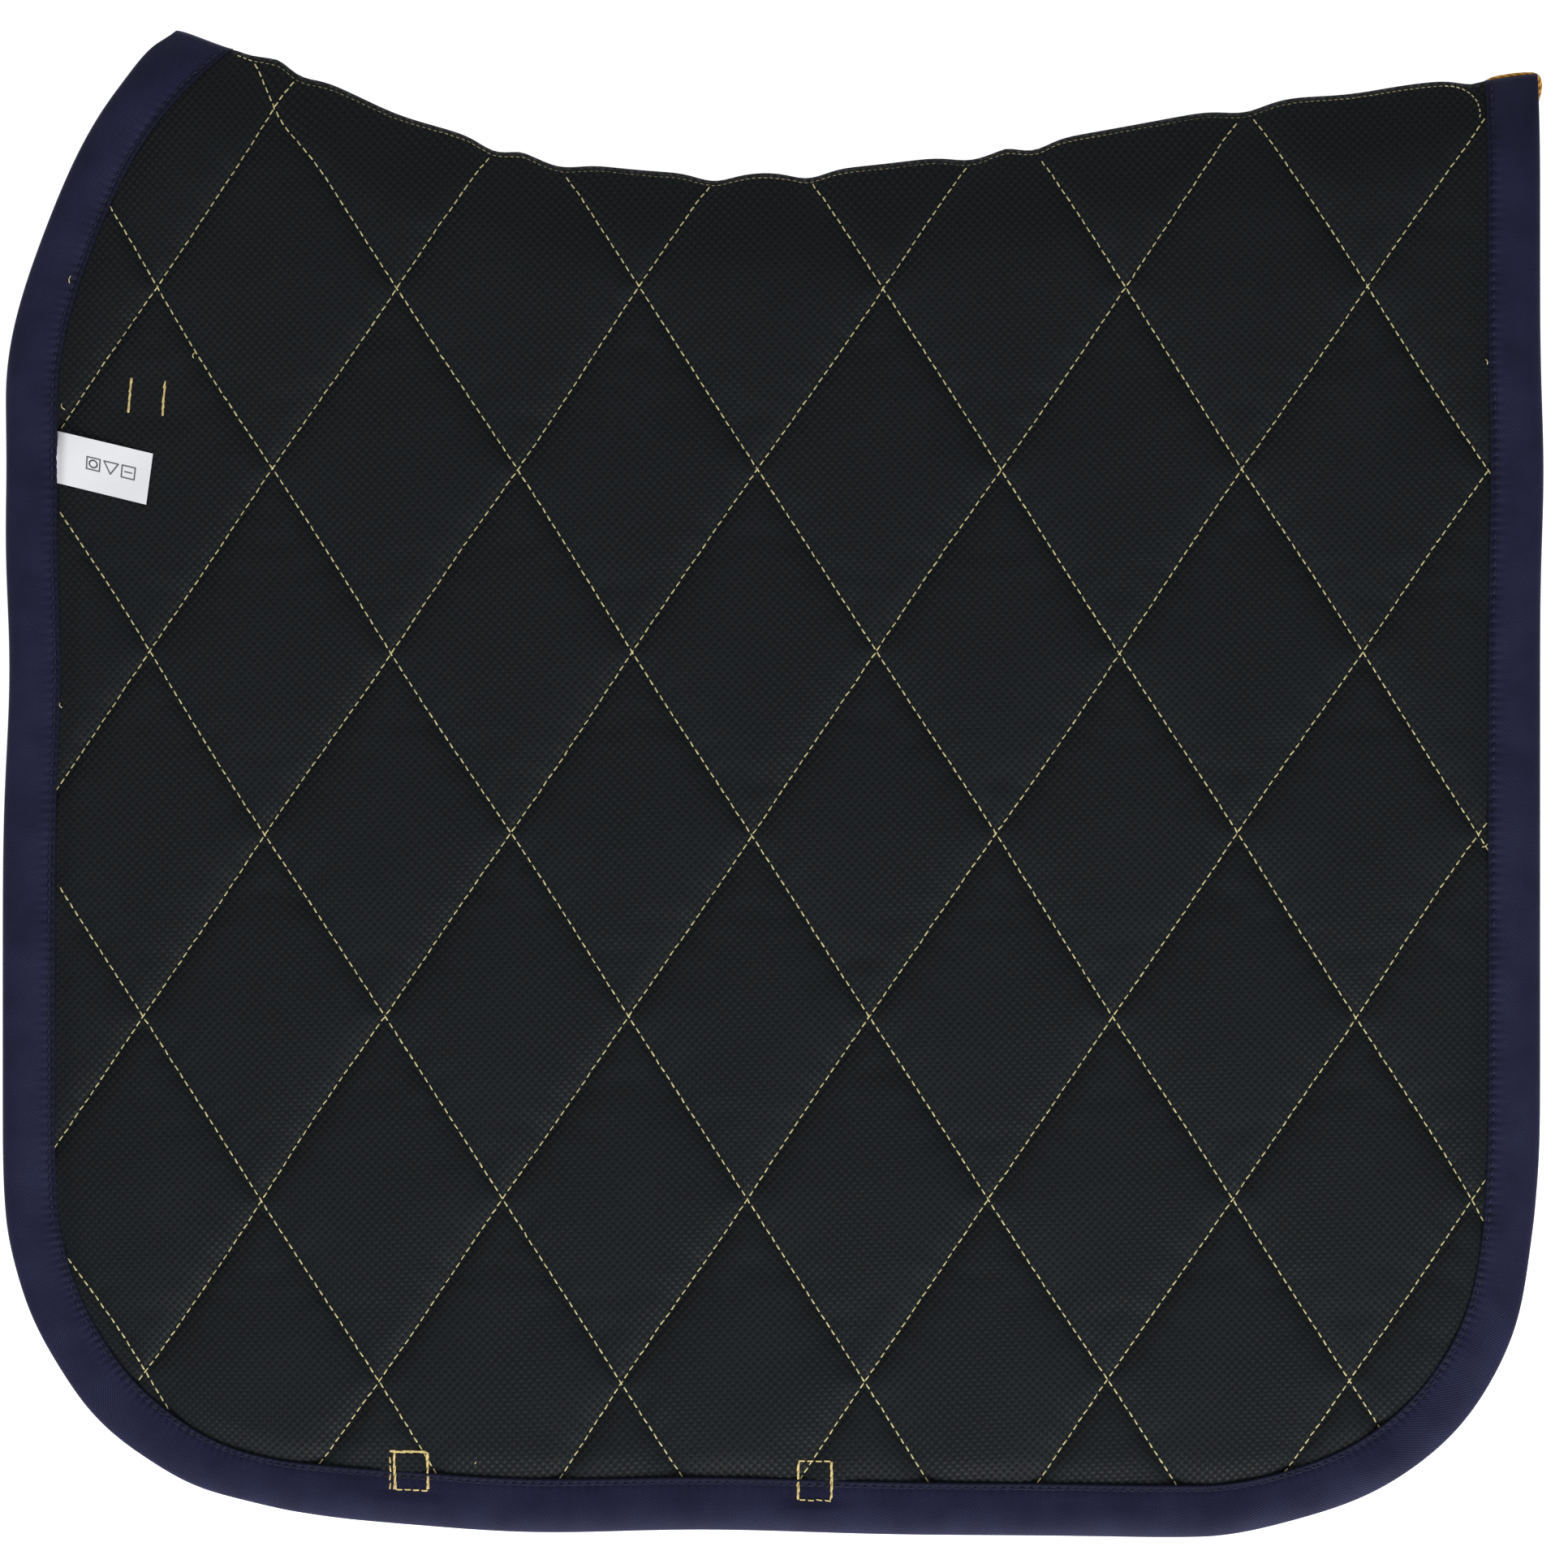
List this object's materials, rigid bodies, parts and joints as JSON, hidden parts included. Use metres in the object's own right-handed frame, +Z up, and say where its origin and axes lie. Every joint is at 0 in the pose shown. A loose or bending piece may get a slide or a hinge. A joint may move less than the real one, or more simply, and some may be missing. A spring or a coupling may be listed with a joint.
{
  "type": "saddle pad",
  "caption": "Contoured, diamond-quilted saddle pad with bound edges, girth keepers and saddle straps, folded along its spine with its mesh lining outwards.",
  "frame": {"origin": "under the middle of the folded pad, on the surface that it lies on", "axes": "+X towards the rear of the pad, +Y towards its spine, +Z up through the two folded flanks"},
  "size_m": [0.6, 0.5894, 0.0316],
  "materials": {
    "lining_mesh": "fine dark honeycomb mesh, matt",
    "padding_foam": "open soft padding",
    "quilted_shell": "navy close twill with a faint sheen",
    "navy_binding": "navy woven binding with a soft sheen",
    "gold_cord": "twisted lustrous cord",
    "navy_tape": "flat woven tape",
    "pale_gold_thread": "lustrous sewing thread",
    "navy_thread": "sewing thread",
    "gold_thread": "thick lustrous thread",
    "navy_web": "ribbed woven webbing",
    "hook_pile": "rows of stiff hooks",
    "loop_pile": "brushed loop pile",
    "label_satin": "white satin ribbon"
  },
  "bodies": {
    "left_flank": {"left_binding": "navy_binding", "left_binding_stitching": "navy_thread", "left_foam": "padding_foam", "left_girth_keeper": "navy_web", "left_keeper_stitching": "gold_thread", "left_lining": "lining_mesh", "left_lining_quilting_thread": "pale_gold_thread", "left_piping": "gold_cord", "left_saddle_strap": "navy_web", "left_shell": "quilted_shell", "left_shell_quilting_thread": "pale_gold_thread", "left_spine_stitching": "pale_gold_thread", "left_spine_tape": "navy_tape", "left_strap_bar_tacks": "gold_thread", "left_strap_hook_patch": "hook_pile", "left_strap_loop_patch": "loop_pile"},
    "right_flank": {"right_binding": "navy_binding", "right_binding_stitching": "navy_thread", "right_foam": "padding_foam", "right_girth_keeper": "navy_web", "right_keeper_stitching": "gold_thread", "right_lining": "lining_mesh", "right_lining_quilting_thread": "pale_gold_thread", "right_piping": "gold_cord", "right_saddle_strap": "navy_web", "right_shell": "quilted_shell", "right_shell_quilting_thread": "pale_gold_thread", "right_spine_stitching": "pale_gold_thread", "right_spine_tape": "navy_tape", "right_strap_bar_tacks": "gold_thread", "right_strap_hook_patch": "hook_pile", "right_strap_loop_patch": "loop_pile"},
    "label": {"size_label": "label_satin"}
  },
  "joints": [
    {"name": "spine_fold", "type": "hinge", "parent": "left_flank", "child": "right_flank", "pos_m": [0, 0.28774, 0.0155], "axis": [-0.9995, 0.0328, 0], "range_deg": [0, 180]},
    {"name": "label_lift", "type": "hinge", "parent": "right_flank", "child": "label", "pos_m": [-0.2795, 0.1274, 0.0313], "axis": [0, -1, 0], "range_deg": [0, 150]}
  ]
}
